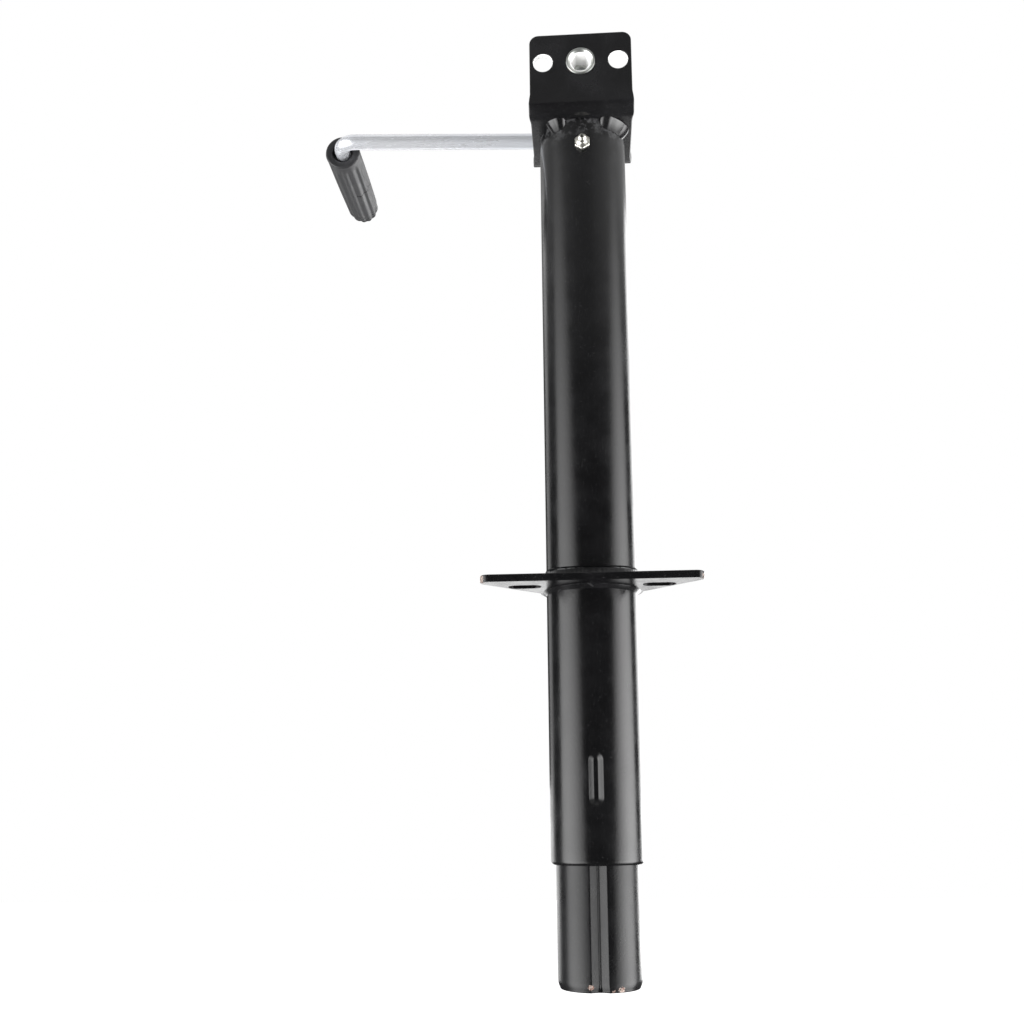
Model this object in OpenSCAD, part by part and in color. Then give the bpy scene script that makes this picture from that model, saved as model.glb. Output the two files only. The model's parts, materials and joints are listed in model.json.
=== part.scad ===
// Side-wind tongue jack for an A-frame trailer coupler.
// +Z is up. The origin is on the tube axis, level with the underside of the mounting flange.
// -Y is the front of the jack, and the crank stands out behind it with its arm towards -X.
// Millimetres.

/* [Outer tube] */
// Outside diameter of the fixed tube
outer_tube_d = 57.15; // [56:0.05:58]
// Wall of the fixed tube
outer_tube_wall = 2.6; // [2.4:0.05:2.65]
// How far the fixed tube reaches below the flange
outer_tube_drop = 168; // [150:1:180]
// How far the fixed tube rises above the flange, to the gear bracket
outer_tube_rise = 312; // [290:1:330]

/* [Drop leg] */
// Outside diameter of the sliding leg
leg_d = 50.8; // [50:0.05:51]
// Wall of the sliding leg
leg_wall = 2; // [1.8:0.1:2.3]
// How far the foot stands below the flange with the leg wound in
foot_drop = 240; // [230:1:250]
// Length of the sliding leg
leg_length = 490; // [470:1:500]
// Width of the leg's lengthwise groove at the surface
groove_w = 12.4; // [12:0.1:13]
// Width of the groove's narrow floor
groove_floor_w = 1.2; // [0.8:0.1:2]
// Depth of the groove
groove_depth = 3.2; // [3.1:0.1:3.4]

/* [Guide dimple] */
// Height of the dimple's middle below the flange
dimple_drop = 117.5; // [105:0.5:125]
// Overall length of the dimple
dimple_length = 32; // [20:1:40]
// Width of the dimple
dimple_w = 9.6; // [7:0.2:10]

/* [Mounting flange] */
// Width of the flange across its front corners
flange_w = 135; // [130:0.5:140]
// Thickness of the flange plate
flange_t = 4.6; // [4:0.1:6]
// Distance from the tube axis to the flange's front edge
flange_front = 43; // [41:0.5:45]
// Pitch circle of the three bolt positions
bolt_circle_d = 95.25; // [94:0.25:97]
// Diameter of the bolt hole and width of the bolt slots
bolt_hole_d = 10; // [10:0.1:10.4]
// End-to-end length of each front bolt slot
bolt_slot_length = 20; // [16:0.5:20]

/* [Gear bracket] */
// Width of the bracket strap
bracket_w = 67; // [64:0.5:70]
// Depth of the bracket over its two walls
bracket_depth = 72; // [71.5:0.5:76]
// Thickness of the bracket strap
bracket_t = 4.5; // [4:0.1:4.6]
// Height of the bracket walls above the strap's underside
bracket_h = 56.5; // [54:0.5:60]
// Height of the crank axis above the strap's underside
axis_rise = 36.5; // [35:0.5:38]
// Diameter of the open hole on each side of the crank axis
side_hole_d = 12.8; // [10:0.2:14]
// Distance between the two side holes
side_hole_spacing = 49.4; // [48:0.2:51]

/* [Crank] */
// Diameter of the crank rod
crank_rod_d = 11; // [10:0.5:11]
// Length of the crank arm from shaft axis to grip axis
crank_arm = 181; // [150:1:200]
// Distance of the arm behind the tube axis
crank_arm_y = 60; // [54:0.5:64]
// Bend radius of the crank rod's centre line
crank_bend_r = 12.5; // [11:0.5:13]
// Angle of the arm above level, in degrees
crank_tilt = 2.6; // [0:0.1:10]
// Largest diameter of the grip
grip_d = 26; // [24:0.5:28]
// Overall length of the grip with its end cap
grip_length = 95; // [85:1:110]

/* [Lead screw] */
// Diameter of the lead screw
screw_d = 18; // [16:0.5:19]

/* [Hidden] */
$fn = 96;
cut = 1;                 // how far a cutter runs past the face it opens
running = 0.05;          // radial clearance of a shaft in its bearing
gap = 0.5;               // free space between two pieces that never touch

outer_r = outer_tube_d / 2;
outer_bore_r = outer_r - outer_tube_wall;
leg_r = leg_d / 2;
leg_bore_r = leg_r - leg_wall;
lip_h = 3;
lip_bore_r = leg_r + 0.35;
lip_round_r = 2.8;

dimple_depth = 1.7;
key_reach = 2.3;
key_w = 4.6;             // width of the dimple's inner side, which runs in the leg's groove

corner_r = 5.5;
waist_r = 23.5;          // circle about the tube axis that the flange's slanting rear edges run towards
neck_r = outer_r + 4;    // the flange's rim around the tube
apex_r = 14;
slot_x = bolt_circle_d / 2 * sin(60);
slot_y = -bolt_circle_d / 2 * cos(60);
weld_upper_h = 8;
weld_upper_w = 3.2;
weld_lower_leg = 2.4;
weld_root = 0.4;         // how deep a flange weld is fused into the tube's wall
weld_seat = 0.6;         // depth of the recess that the lower weld fills in the flange

bracket_z = outer_tube_rise;
bend_r = 8;
bracket_corner_r = 6;
axis_z = bracket_z + axis_rise;
wall_inner_y = bracket_depth / 2 - bracket_t;
web_top_z = bracket_z + bracket_t;
bracket_weld_leg = 4.6;
bracket_weld_angle = 38;
bracket_weld_span = 30;

fitting_z = outer_tube_rise - 18;
fitting_shank_r = 3.6;

sleeve_r = 9.5;
socket_chamfer = 2.2;
sleeve_front_y = -bracket_depth / 2 - 0.5;
sleeve_back_y = bracket_depth / 2 + 1.5;
socket_flats = 11.4;
socket_depth = 14;
socket_mouth_r = 8.6;
rod_r = crank_rod_d / 2;
rod_start_y = -18;

pinion_teeth = 12;
crown_teeth = 24;
pinion_pitch_r = 13.5;
tooth_pitch = 2 * PI * pinion_pitch_r / pinion_teeth;
crown_pitch_r = crown_teeth * tooth_pitch / (2 * PI);
addendum = 1.3;
dedendum = 1.9;
pressure_angle = 20;
pinion_fill = 0.84;      // share of the half pitch that a pinion tooth takes up
crown_fill = 0.74;       // share of the half pitch that a crown tooth takes up
face_w = 5;
mesh_z = axis_z - pinion_pitch_r;
crown_inner_r = crown_pitch_r - face_w / 2;
crown_outer_r = crown_pitch_r + face_w / 2;
pinion_y = crown_pitch_r - face_w / 2;
pinion_hub_r = 11.8;
pinion_hub_l = 10;
pinion_pin_d = 5;
pinion_pin_y = pinion_y - pinion_hub_l / 2;

race_outer_r = 23.5;
race_t = 3;
ball_r = 2.95;
ball_circle_r = 16.5;
ball_count = 12;
cage_t = 2;
cage_inner_r = 11.5;
cage_outer_r = 21.5;
ball_gap = 6;
race_z = outer_tube_rise - race_t;
ball_z = race_z - ball_gap / 2;
lower_race_z = race_z - ball_gap - race_t;
collar_h = 7;
collar_r = 15;
collar_z = lower_race_z - collar_h;
collar_pin_r = 2;

screw_r = screw_d / 2;
journal_r = 8;
bush_r = 10.5;
screw_bottom_z = -121;
screw_top_z = axis_z - sleeve_r - 1.2;
gear_washer_t = 0.9;
gear_z = web_top_z + gear_washer_t + 0.1;
gear_disc_top_z = mesh_z - dedendum;
gear_stack_h = gear_disc_top_z - gear_z;
gear_disc_t = 6.5;
gear_hub_r = 15;
gear_washer_r = 20;
gear_key_w = 4;
clip_groove_d = 0.9;
clip_t = 1.2;

nut_h = 20;
nut_z = leg_length - foot_drop - nut_h - 4;
nut_pin_r = 2.5;
nut_pin_inner_r = screw_r + 2;

grip_axis_x = -crank_arm;
grip_start_y = crank_arm_y + crank_bend_r + 1;
grip_end_r = grip_d / 2 - 0.7;
cap_h = grip_end_r + 0.7;
grip_sleeve_l = grip_length - cap_h;
flute_count = 12;
flute_r = 1.5;
flute_circle_r = grip_d / 2 + 0.2;
rod_end_y = grip_start_y + grip_sleeve_l + 4;
push_nut_y = rod_end_y - 3;
push_nut_r = rod_r + 2.5;
push_nut_t = 1;
push_groove = 0.6;
pocket_r = push_nut_r + 0.7;   // room around the push nut, inside the grip's end
pocket_depth = 6;
flute_start = 6;
cap_flute_l = 8;

// ---- shared shapes ----

// A plate outline between two circles, with their outer tangents
module belt(p1, r1, p2, r2) {
    span = norm(p2 - p1);
    heading = atan2(p2[1] - p1[1], p2[0] - p1[0]);
    lean = acos((r1 - r2) / span);
    polygon([
        p1 + r1 * [cos(heading + lean), sin(heading + lean)],
        p2 + r2 * [cos(heading + lean), sin(heading + lean)],
        p2 + r2 * [cos(heading - lean), sin(heading - lean)],
        p1 + r1 * [cos(heading - lean), sin(heading - lean)]
    ]);
    translate(p1) circle(r1);
    translate(p2) circle(r2);
}

// A slot outline of a given overall length along X
module slot_outline(length, width) {
    square([length - width, width], center = true);
    for (side = [-1, 1]) {
        translate([side * (length - width) / 2, 0]) circle(width / 2);
    }
}

module ring(outer, inner, height) {
    difference() {
        cylinder(h = height, r = outer);
        translate([0, 0, -cut]) cylinder(h = height + 2 * cut, r = inner);
    }
}

// A solid standing along +Y from y1 to y2, from children drawn along +Z
module along_y(y1) {
    translate([0, y1, 0]) rotate([-90, 0, 0]) children();
}

// Moves children that are drawn about the Y axis to the crank's shaft axis
module at_crank_axis() {
    translate([0, 0, axis_z]) rotate([0, crank_tilt, 0]) children();
}

// ---- fixed tube and what is welded to it ----

module outer_tube_profile() {
    translate([outer_bore_r, -outer_tube_drop + lip_h]) {
        square([outer_tube_wall, outer_tube_drop + outer_tube_rise - lip_h]);
    }
    intersection() {
        translate([lip_bore_r, -outer_tube_drop]) square([outer_r - lip_bore_r, lip_h + 0.01]);
        union() {
            translate([outer_r - lip_round_r, -outer_tube_drop + lip_round_r]) circle(lip_round_r);
            translate([lip_bore_r, -outer_tube_drop + lip_round_r]) square([outer_r - lip_bore_r, lip_h]);
        }
    }
}

// The dimple's outline, standing upright, pushed through the front of the tube
module dimple_prism(width, length, reach) {
    translate([0, 0, -dimple_drop]) rotate([90, 0, 0]) {
        linear_extrude(height = reach) rotate(90) slot_outline(length, width);
    }
}

module outer_tube() {
    color([0.10, 0.10, 0.11]) {
        difference() {
            rotate_extrude() outer_tube_profile();
            difference() {
                dimple_prism(dimple_w, dimple_length, outer_r + cut);
                translate([0, 0, -dimple_drop - dimple_length]) {
                    cylinder(h = 2 * dimple_length, r = outer_r - dimple_depth);
                }
            }
            translate([0, 0, fitting_z]) rotate([90, 0, 0]) {
                cylinder(h = outer_r + cut, r = fitting_shank_r);
            }
            translate([0, 0, flange_t]) ring(outer_r + cut, outer_r - weld_root, weld_upper_h);
            translate([0, 0, -weld_lower_leg]) {
                ring(outer_r + cut, outer_r - weld_root, weld_lower_leg + weld_seat);
            }
        }
        difference() {
            intersection() {
                dimple_prism(key_w, dimple_length - 2, outer_r);
                translate([0, 0, -dimple_drop - dimple_length]) {
                    cylinder(h = 2 * dimple_length, r = outer_bore_r + 0.2);
                }
            }
            translate([0, 0, -dimple_drop - dimple_length]) {
                cylinder(h = 2 * dimple_length, r = outer_bore_r - key_reach);
            }
        }
    }
}

module flange_plate() {
    corner = [flange_w / 2 - corner_r, corner_r - flange_front];
    mirrored = [-corner[0], corner[1]];
    apex = [0, bolt_circle_d / 2];
    linear_extrude(height = flange_t) {
        polygon([[0, 0], mirrored, corner]);
        belt(mirrored, corner_r, corner, corner_r);
    }
    linear_extrude(height = flange_t) belt(corner, corner_r, [0, 0], waist_r);
    linear_extrude(height = flange_t) belt([0, 0], waist_r, mirrored, corner_r);
    linear_extrude(height = flange_t) belt([0, 0], neck_r, apex, apex_r);
}

module mounting_flange() {
    color([0.11, 0.11, 0.12]) difference() {
        flange_plate();
        translate([0, 0, -cut]) {
            cylinder(h = flange_t + 2 * cut, r = outer_r);
            cylinder(h = weld_seat + cut, r = outer_r + weld_lower_leg + 0.3);
            translate([0, bolt_circle_d / 2, 0]) cylinder(h = flange_t + 2 * cut, d = bolt_hole_d);
            for (side = [-1, 1]) {
                translate([side * slot_x, slot_y, 0]) {
                    linear_extrude(height = flange_t + 2 * cut) slot_outline(bolt_slot_length, bolt_hole_d);
                }
            }
        }
    }
}

// A fillet weld bead around the tube, of a width on the plate and a height on the tube, going up or down
// from the plate. It is fused into the tube's wall by root, and reaches back into the plate by seat.
module weld_bead(width, height, up, start, sweep, root, seat) {
    rotate([0, 0, start]) rotate_extrude(angle = sweep) {
        polygon([
            [outer_r - root, -up * seat], [outer_r + width, -up * seat], [outer_r + width, 0],
            [outer_r + 0.45 * width, up * 0.45 * height], [outer_r, up * height],
            [outer_r - root, up * height]
        ]);
    }
}

module flange_weld_upper() {
    color([0.12, 0.12, 0.13]) translate([0, 0, flange_t]) {
        weld_bead(weld_upper_w, weld_upper_h, 1, 0, 360, weld_root, 0);
    }
}

module flange_weld_lower() {
    color([0.12, 0.12, 0.13]) weld_bead(weld_lower_leg, weld_lower_leg, -1, 0, 360, weld_root, weld_seat);
}

module bracket_section() {
    half = bracket_depth / 2;
    translate([-half + bend_r, 0]) square([bracket_depth - 2 * bend_r, bracket_t]);
    for (flip = [0, 1]) {
        mirror([flip, 0]) {
            translate([half - bracket_t, bend_r]) square([bracket_t, bracket_h - bend_r]);
            translate([half - bend_r, bend_r]) intersection() {
                difference() {
                    circle(bend_r);
                    circle(bend_r - bracket_t);
                }
                translate([0, -bend_r]) square(bend_r);
            }
        }
    }
}

// The front outline of the strap, with its two top corners rounded
module bracket_front_outline() {
    half = bracket_w / 2;
    translate([-half, 0]) square([bracket_w, bracket_h - bracket_corner_r]);
    translate([-half + bracket_corner_r, 0]) square([bracket_w - 2 * bracket_corner_r, bracket_h]);
    for (side = [-1, 1]) {
        translate([side * (half - bracket_corner_r), bracket_h - bracket_corner_r]) circle(bracket_corner_r);
    }
}

module gear_bracket() {
    color([0.10, 0.10, 0.11]) difference() {
        translate([0, 0, bracket_z]) intersection() {
            rotate([90, 0, 90]) translate([0, 0, -bracket_w / 2]) {
                linear_extrude(height = bracket_w) bracket_section();
            }
            translate([0, bracket_depth / 2 + cut, 0]) rotate([90, 0, 0]) {
                linear_extrude(height = bracket_depth + 2 * cut) bracket_front_outline();
            }
        }
        for (x = [-side_hole_spacing / 2, side_hole_spacing / 2]) {
            translate([x, 0, axis_z]) along_y(-bracket_depth) {
                cylinder(h = 2 * bracket_depth, d = side_hole_d);
            }
        }
        translate([0, 0, axis_z]) along_y(-bracket_depth) {
            cylinder(h = 2 * bracket_depth, r = sleeve_r + running);
        }
        translate([0, 0, bracket_z - cut]) cylinder(h = bracket_t + 2 * cut, r = bush_r);
    }
}

module bracket_welds() {
    color([0.16, 0.16, 0.17]) translate([0, 0, bracket_z]) {
        for (front = [-90, 90], side = [-1, 1]) {
            start = front + side * bracket_weld_angle - bracket_weld_span / 2;
            weld_bead(bracket_weld_leg, bracket_weld_leg, -1, start, bracket_weld_span, 0, 0);
        }
    }
}

module grease_fitting() {
    shank_l = 3.4;
    hex_l = 2.4;
    cone_l = 1.8;
    neck_l = 3;
    neck_r = 2.2;
    head_r = 2.9;
    grease_hole_r = 0.8;
    color([0.80, 0.80, 0.78]) translate([0, 0, fitting_z]) rotate([90, 0, 0]) translate([0, 0, outer_r]) {
        difference() {
            union() {
                translate([0, 0, -shank_l]) cylinder(h = shank_l + hex_l, r = fitting_shank_r);
                translate([0, 0, 0.05]) cylinder(h = hex_l, d = 11, $fn = 6);
                translate([0, 0, hex_l]) cylinder(h = cone_l, r1 = 2 * neck_r, r2 = neck_r + 0.2);
                translate([0, 0, hex_l]) cylinder(h = neck_l, r = neck_r);
                translate([0, 0, hex_l + neck_l]) sphere(head_r);
            }
            translate([0, 0, -shank_l - cut]) {
                cylinder(h = shank_l + hex_l + neck_l + head_r + 2 * cut, r = grease_hole_r);
            }
        }
    }
}

// ---- thrust bearing and bushes ----

module upper_race() {
    color([0.70, 0.70, 0.72]) translate([0, 0, race_z]) ring(race_outer_r, bush_r, race_t);
}

module bearing_cage() {
    color([0.72, 0.62, 0.35]) translate([0, 0, ball_z - cage_t / 2]) difference() {
        ring(cage_outer_r, cage_inner_r, cage_t);
        for (i = [0 : ball_count - 1]) {
            rotate([0, 0, i * 360 / ball_count]) translate([ball_circle_r, 0, cage_t / 2]) {
                sphere(ball_r + 0.02);
            }
        }
    }
}

module bearing_balls() {
    color([0.85, 0.85, 0.87]) translate([0, 0, ball_z]) {
        for (i = [0 : ball_count - 1]) {
            rotate([0, 0, i * 360 / ball_count]) translate([ball_circle_r, 0, 0]) sphere(ball_r);
        }
    }
}

module screw_bush() {
    color([0.72, 0.55, 0.25]) translate([0, 0, race_z]) {
        ring(bush_r, journal_r + running, race_t + bracket_t);
    }
}

module gear_washer() {
    color([0.72, 0.55, 0.25]) translate([0, 0, web_top_z]) {
        ring(gear_washer_r, journal_r + gap, gear_washer_t);
    }
}

// ---- lead screw and what turns with it ----

module lead_screw() {
    tip_h = 3;
    color([0.55, 0.55, 0.57]) difference() {
        union() {
            translate([0, 0, screw_bottom_z]) cylinder(h = tip_h, r1 = screw_r - 2, r2 = screw_r);
            translate([0, 0, screw_bottom_z + tip_h]) {
                cylinder(h = collar_z - screw_bottom_z - tip_h, r = screw_r);
            }
            translate([0, 0, collar_z]) cylinder(h = screw_top_z - collar_z, r = journal_r);
        }
        translate([journal_r - gear_key_w / 2, -gear_key_w / 2, gear_z]) {
            cube([gear_key_w, gear_key_w, screw_top_z - gear_z + cut]);
        }
        translate([0, 0, gear_disc_top_z]) ring(journal_r + cut, journal_r - clip_groove_d, clip_t);
        translate([0, 0, collar_z + collar_h / 2]) rotate([0, 90, 0]) {
            cylinder(h = 2 * collar_r, r = collar_pin_r, center = true);
        }
    }
}

module screw_collar() {
    color([0.60, 0.60, 0.62]) translate([0, 0, collar_z]) difference() {
        ring(collar_r, journal_r, collar_h);
        translate([0, 0, collar_h / 2]) rotate([0, 90, 0]) {
            cylinder(h = 3 * collar_r, r = collar_pin_r, center = true);
        }
    }
}

module collar_pin() {
    color([0.45, 0.45, 0.47]) translate([0, 0, collar_z + collar_h / 2]) rotate([0, 90, 0]) {
        cylinder(h = 2 * collar_r - 1, r = collar_pin_r, center = true);
    }
}

module lower_race() {
    color([0.70, 0.70, 0.72]) translate([0, 0, lower_race_z]) ring(race_outer_r - 1, journal_r, race_t);
}

// One crown tooth: a trapezoid across the tooth, standing along a radius
module crown_tooth() {
    half_pitch_w = tooth_pitch / 4 * crown_fill;
    slope = tan(pressure_angle);
    translate([crown_inner_r, 0, mesh_z]) rotate([90, 0, 90]) linear_extrude(height = face_w) polygon([
        [-half_pitch_w - slope * dedendum, -dedendum - 0.2],
        [half_pitch_w + slope * dedendum, -dedendum - 0.2],
        [half_pitch_w - slope * addendum, addendum],
        [-half_pitch_w + slope * addendum, addendum]
    ]);
}

module crown_gear() {
    color([0.50, 0.50, 0.52]) difference() {
        union() {
            translate([0, 0, gear_z]) cylinder(h = gear_stack_h, r = gear_hub_r);
            translate([0, 0, gear_disc_top_z - gear_disc_t]) cylinder(h = gear_disc_t, r = crown_outer_r);
            for (i = [0 : crown_teeth - 1]) {
                rotate([0, 0, 90 + i * 360 / crown_teeth]) crown_tooth();
            }
        }
        translate([0, 0, gear_z - cut]) cylinder(h = gear_stack_h + 2 * cut, r = journal_r);
        translate([journal_r - gear_key_w / 2, -gear_key_w / 2, gear_z - cut]) {
            cube([gear_key_w, gear_key_w, gear_stack_h + 2 * cut]);
        }
    }
}

module gear_key() {
    color([0.45, 0.45, 0.47]) translate([journal_r - gear_key_w / 2, -gear_key_w / 2, gear_z]) {
        cube([gear_key_w, gear_key_w, gear_stack_h]);
    }
}

module gear_clip() {
    color([0.35, 0.35, 0.37]) translate([0, 0, gear_disc_top_z]) difference() {
        ring(journal_r + 3, journal_r - clip_groove_d, clip_t);
        translate([-2, 0, -cut]) cube([4, 2 * journal_r, clip_t + 2 * cut]);
    }
}

// ---- crank, drive sleeve and pinion ----

module rod_along_y(y1, y2, r) {
    along_y(y1) cylinder(h = y2 - y1, r = r);
}

// A quarter turn of the crank rod, about a vertical axis
module rod_bend(centre, start) {
    translate([centre[0], centre[1], 0]) rotate([0, 0, start]) {
        rotate_extrude(angle = 90) translate([crank_bend_r, 0]) circle(rod_r);
    }
}

module crank_rod() {
    arm_end_x = grip_axis_x + crank_bend_r;
    color([0.72, 0.74, 0.76]) at_crank_axis() {
        difference() {
            union() {
                rod_along_y(rod_start_y, crank_arm_y - crank_bend_r, rod_r);
                rod_bend([-crank_bend_r, crank_arm_y - crank_bend_r], 0);
                translate([arm_end_x, crank_arm_y, 0]) rotate([0, 90, 0]) {
                    cylinder(h = -arm_end_x - crank_bend_r, r = rod_r);
                }
                rod_bend([arm_end_x, crank_arm_y + crank_bend_r], 180);
                translate([grip_axis_x, 0, 0]) rod_along_y(crank_arm_y + crank_bend_r, rod_end_y, rod_r);
            }
            translate([0, pinion_pin_y, 0]) rotate([0, 90, 0]) {
                cylinder(h = 3 * rod_r, d = pinion_pin_d, center = true);
            }
            translate([grip_axis_x, push_nut_y, 0]) rotate([-90, 0, 0]) {
                ring(rod_r + cut, rod_r - push_groove, push_nut_t);
            }
        }
    }
}

module drive_sleeve() {
    color([0.70, 0.71, 0.70]) at_crank_axis() difference() {
        rod_along_y(sleeve_front_y, sleeve_back_y, sleeve_r);
        rod_along_y(rod_start_y, sleeve_back_y + cut, rod_r);
        rod_along_y(sleeve_front_y + socket_depth - cut, rod_start_y + cut, rod_r - 1);
        along_y(sleeve_front_y - cut) cylinder(h = socket_depth + cut, d = socket_flats / cos(30), $fn = 6);
        along_y(sleeve_front_y - 0.01) {
            cylinder(h = socket_chamfer, r1 = socket_mouth_r, r2 = socket_mouth_r - socket_chamfer);
        }
        translate([0, pinion_pin_y, 0]) rotate([0, 90, 0]) {
            cylinder(h = 4 * sleeve_r, d = pinion_pin_d, center = true);
        }
        along_y(-wall_inner_y + 0.1) ring(sleeve_r + cut, sleeve_r - clip_groove_d, clip_t);
    }
}

function involute_angle(a) = tan(a) * 180 / PI - a;

// Half the angle that a pinion tooth covers at radius r
function tooth_half_angle(r, base_r) =
    90 / pinion_teeth * pinion_fill + involute_angle(pressure_angle)
    - (r > base_r ? involute_angle(acos(base_r / r)) : 0);

module pinion_outline() {
    base_r = pinion_pitch_r * cos(pressure_angle);
    root_r = pinion_pitch_r - dedendum;
    tip_r = pinion_pitch_r + addendum;
    flank = [root_r - 0.3, base_r, (base_r + pinion_pitch_r) / 2, pinion_pitch_r,
        (pinion_pitch_r + tip_r) / 2, tip_r];
    circle(root_r);
    for (i = [0 : pinion_teeth - 1]) {
        turn = i * 360 / pinion_teeth;
        half = [for (r = flank) tooth_half_angle(r, base_r)];
        last = len(flank) - 1;
        left = [for (k = [0 : last]) flank[k] * [cos(turn + half[k]), sin(turn + half[k])]];
        right = [for (k = [last : -1 : 0]) flank[k] * [cos(turn - half[k]), sin(turn - half[k])]];
        polygon(concat(left, right));
    }
}

module pinion_gear() {
    // a tooth of the crown stands at the back of the mesh, so a pinion gap points down at rest
    gap_down = 90 + 180 / pinion_teeth;
    color([0.50, 0.50, 0.52]) translate([0, 0, axis_z]) difference() {
        union() {
            along_y(pinion_y) rotate(gap_down) linear_extrude(height = face_w) pinion_outline();
            rod_along_y(pinion_y - pinion_hub_l, pinion_y, pinion_hub_r);
        }
        rod_along_y(pinion_y - pinion_hub_l - cut, pinion_y + face_w + cut, sleeve_r);
        rotate([0, crank_tilt, 0]) translate([0, pinion_pin_y, 0]) rotate([0, 90, 0]) {
            cylinder(h = 4 * pinion_hub_r, d = pinion_pin_d, center = true);
        }
    }
}

module pinion_spacer() {
    color([0.70, 0.71, 0.70]) translate([0, 0, axis_z]) along_y(pinion_y + face_w) {
        ring(pinion_hub_r, sleeve_r, wall_inner_y - pinion_y - face_w - 0.1);
    }
}

module drive_pin() {
    color([0.45, 0.45, 0.47]) at_crank_axis() translate([0, pinion_pin_y, 0]) rotate([0, 90, 0]) {
        cylinder(h = 2 * pinion_hub_r - 1, d = pinion_pin_d, center = true);
    }
}

module sleeve_clip() {
    color([0.35, 0.35, 0.37]) translate([0, 0, axis_z]) along_y(-wall_inner_y + 0.1) difference() {
        ring(sleeve_r + 2.6, sleeve_r - clip_groove_d, clip_t);
        translate([-2, 0, -cut]) cube([4, 2 * sleeve_r, clip_t + 2 * cut]);
    }
}

module rod_push_nut() {
    color([0.55, 0.55, 0.57]) at_crank_axis() translate([grip_axis_x, push_nut_y, 0]) rotate([-90, 0, 0]) {
        ring(push_nut_r, rod_r - push_groove, push_nut_t);
    }
}

// ---- grip ----

module flutes(start, length) {
    for (i = [0 : flute_count - 1]) {
        rotate([0, i * 360 / flute_count, 0]) translate([flute_circle_r, 0, 0]) {
            rod_along_y(start, start + length, flute_r);
        }
    }
}

module at_grip() {
    at_crank_axis() translate([grip_axis_x, grip_start_y, 0]) children();
}

module grip() {
    mouth_depth = 5;
    mouth_r = rod_r + 2.4;
    color([0.16, 0.16, 0.17]) at_grip() difference() {
        along_y(0) cylinder(h = grip_sleeve_l, r1 = grip_d / 2, r2 = grip_end_r);
        along_y(-cut) cylinder(h = grip_sleeve_l + 2 * cut, r = rod_r + running);
        along_y(-cut) cylinder(h = mouth_depth + cut, r = mouth_r);
        along_y(grip_sleeve_l - 1.5) cylinder(h = 1.5 + cut, r = pocket_r);
        flutes(flute_start, grip_sleeve_l);
    }
}

module grip_cap_profile() {
    square([grip_end_r, cap_h - grip_end_r]);
    intersection() {
        translate([0, cap_h - grip_end_r]) circle(grip_end_r);
        translate([0, cap_h - grip_end_r]) square(grip_end_r);
    }
}

module grip_cap() {
    color([0.16, 0.16, 0.17]) at_grip() difference() {
        along_y(grip_sleeve_l) rotate_extrude() grip_cap_profile();
        along_y(grip_sleeve_l - cut) cylinder(h = pocket_depth + cut, r = pocket_r);
        flutes(grip_sleeve_l - cut, cap_flute_l);
    }
}

// ---- sliding leg ----

// The groove's outline at the front of the leg, grown outwards by a wall thickness
module groove_outline(wall) {
    floor_y = -(leg_r - groove_depth - wall);
    edge_y = -(leg_r - wall);
    half_floor = (groove_floor_w + wall) / 2;
    half_edge = (groove_w + wall) / 2;
    polygon([
        [-half_floor, floor_y], [half_floor, floor_y],
        [half_edge, edge_y], [half_edge, -leg_r - 2 * cut],
        [-half_edge, -leg_r - 2 * cut], [-half_edge, edge_y]
    ]);
}

module leg_inside_outline() {
    difference() {
        circle(leg_bore_r);
        groove_outline(leg_wall);
    }
}

module inner_tube() {
    color([0.10, 0.10, 0.11]) difference() {
        translate([0, 0, -foot_drop]) linear_extrude(height = leg_length) difference() {
            circle(leg_r);
            groove_outline(0);
            leg_inside_outline();
        }
        translate([0, 0, nut_z + nut_h / 2]) rotate([0, 90, 0]) {
            cylinder(h = 3 * leg_r, r = nut_pin_r, center = true);
        }
    }
}

module lead_nut() {
    color([0.72, 0.55, 0.25]) translate([0, 0, nut_z]) difference() {
        linear_extrude(height = nut_h) leg_inside_outline();
        translate([0, 0, -cut]) cylinder(h = nut_h + 2 * cut, r = screw_r + running);
        translate([0, 0, nut_h / 2]) rotate([0, 90, 0]) {
            cylinder(h = 3 * leg_r, r = nut_pin_r, center = true);
        }
    }
}

module nut_pins() {
    color([0.45, 0.45, 0.47]) translate([0, 0, nut_z + nut_h / 2]) {
        for (side = [0, 180]) {
            rotate([0, 0, side]) translate([nut_pin_inner_r, 0, 0]) rotate([0, 90, 0]) {
                cylinder(h = leg_r - 0.2 - nut_pin_inner_r, r = nut_pin_r);
            }
        }
    }
}

outer_tube();
mounting_flange();
flange_weld_upper();
flange_weld_lower();
gear_bracket();
bracket_welds();
grease_fitting();
upper_race();
bearing_cage();
bearing_balls();
screw_bush();
gear_washer();
lead_screw();
screw_collar();
collar_pin();
lower_race();
crown_gear();
gear_key();
gear_clip();
crank_rod();
drive_sleeve();
pinion_gear();
pinion_spacer();
drive_pin();
sleeve_clip();
rod_push_nut();
grip();
grip_cap();
inner_tube();
lead_nut();
nut_pins();
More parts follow.
